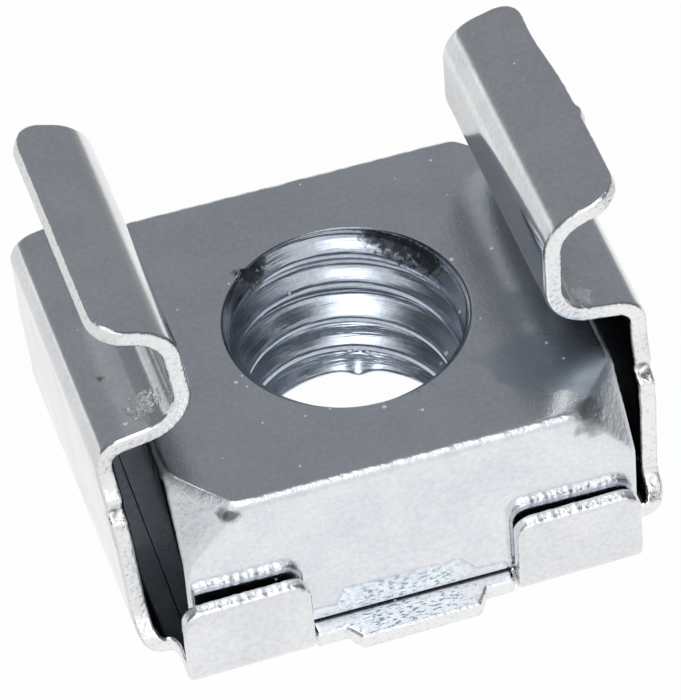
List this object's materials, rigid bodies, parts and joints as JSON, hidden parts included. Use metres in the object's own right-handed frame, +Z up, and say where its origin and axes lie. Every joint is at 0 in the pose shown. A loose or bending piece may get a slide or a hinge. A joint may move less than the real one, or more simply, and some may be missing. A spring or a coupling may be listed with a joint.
{
  "type": "rack cage nut",
  "caption": "Threaded block held loose in a folded spring-steel cage whose sprung lugs clip into the square hole of an equipment rack rail, giving it a screw thread.",
  "frame": {"origin": "middle of the underside of the cage's base plate", "axes": "+X across the two spring lugs, +Y along them, +Z up out of the base towards the lugs, along the thread"},
  "size_m": [0.0134, 0.013, 0.0098],
  "materials": {
    "cage_zinc": "bright zinc plate on spring steel, sheared edges",
    "nut_zinc": "bright zinc plate on rolled steel, lightly pitted"
  },
  "bodies": {
    "root": {"cage": "cage_zinc", "nut": "nut_zinc"}
  },
  "joints": []
}
